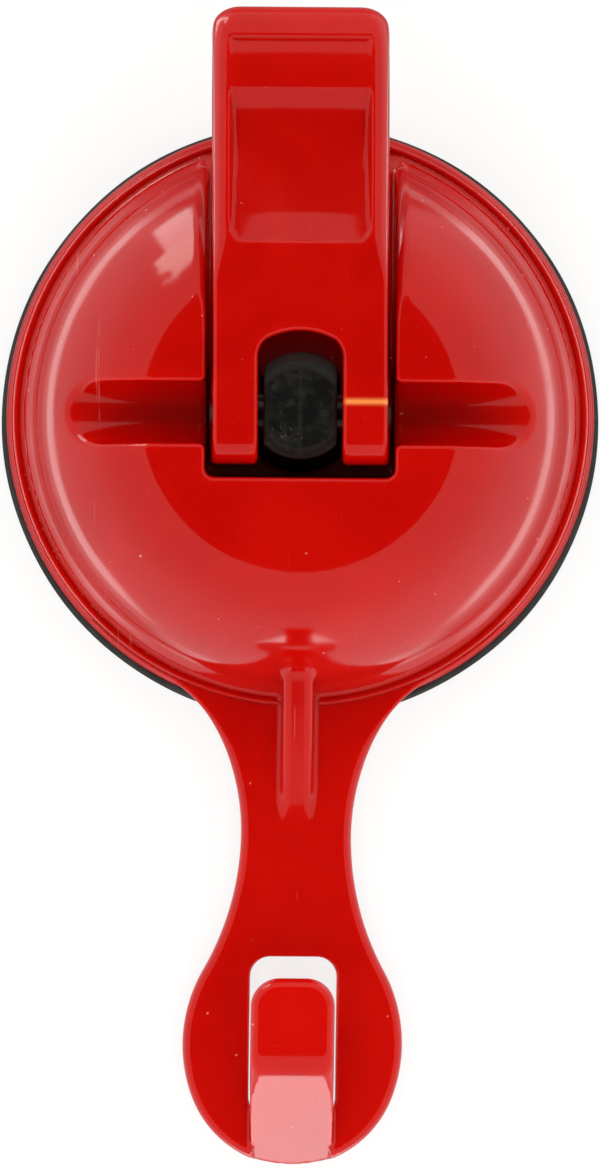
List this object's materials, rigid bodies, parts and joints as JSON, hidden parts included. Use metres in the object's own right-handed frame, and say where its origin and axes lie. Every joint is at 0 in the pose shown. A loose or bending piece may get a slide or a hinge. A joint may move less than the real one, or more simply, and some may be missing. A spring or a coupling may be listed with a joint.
{
  "type": "lever suction cup with hook",
  "caption": "Lever-locked suction cup: a cam lever draws the middle of a round soft pad up into a domed hood whose flat arm ends in a hook.",
  "frame": {"origin": "centre of the pad's sealing face, in the plane that lies on the glass", "axes": "+Z away from the glass, +Y along the hook arm's line from the hook towards the lever's tip, +X along the pivot pin"},
  "size_m": [0.06, 0.1143, 0.0202],
  "materials": {
    "hood_plastic": "gloss",
    "lever_plastic": "gloss",
    "pin_steel": "plain",
    "stem_plastic": "matt",
    "pad_rubber": "matt",
    "washer_steel": "plain",
    "spring_steel": "plain"
  },
  "bodies": {
    "hood": {"hood": "hood_plastic", "suction_pad": "pad_rubber", "return_spring": "spring_steel"},
    "stem": {"stem": "stem_plastic", "pivot_pin": "pin_steel", "spring_washer": "washer_steel"},
    "lever": {"lever": "lever_plastic"}
  },
  "joints": [
    {"name": "stem_lift", "type": "slide", "parent": "hood", "child": "stem", "axis": [0, 0, 1], "range_m": [-0.0022, 0], "deforming": ["suction_pad", "return_spring"]},
    {"name": "lever_pivot", "type": "hinge", "parent": "stem", "child": "lever", "pos_m": [0, 0, 0.01622], "axis": [1, 0, 0], "range_deg": [0, 95]}
  ],
  "couplings": [
    {"joint": "stem_lift", "follows": "lever_pivot", "m_per_rad": -0.001326}
  ]
}
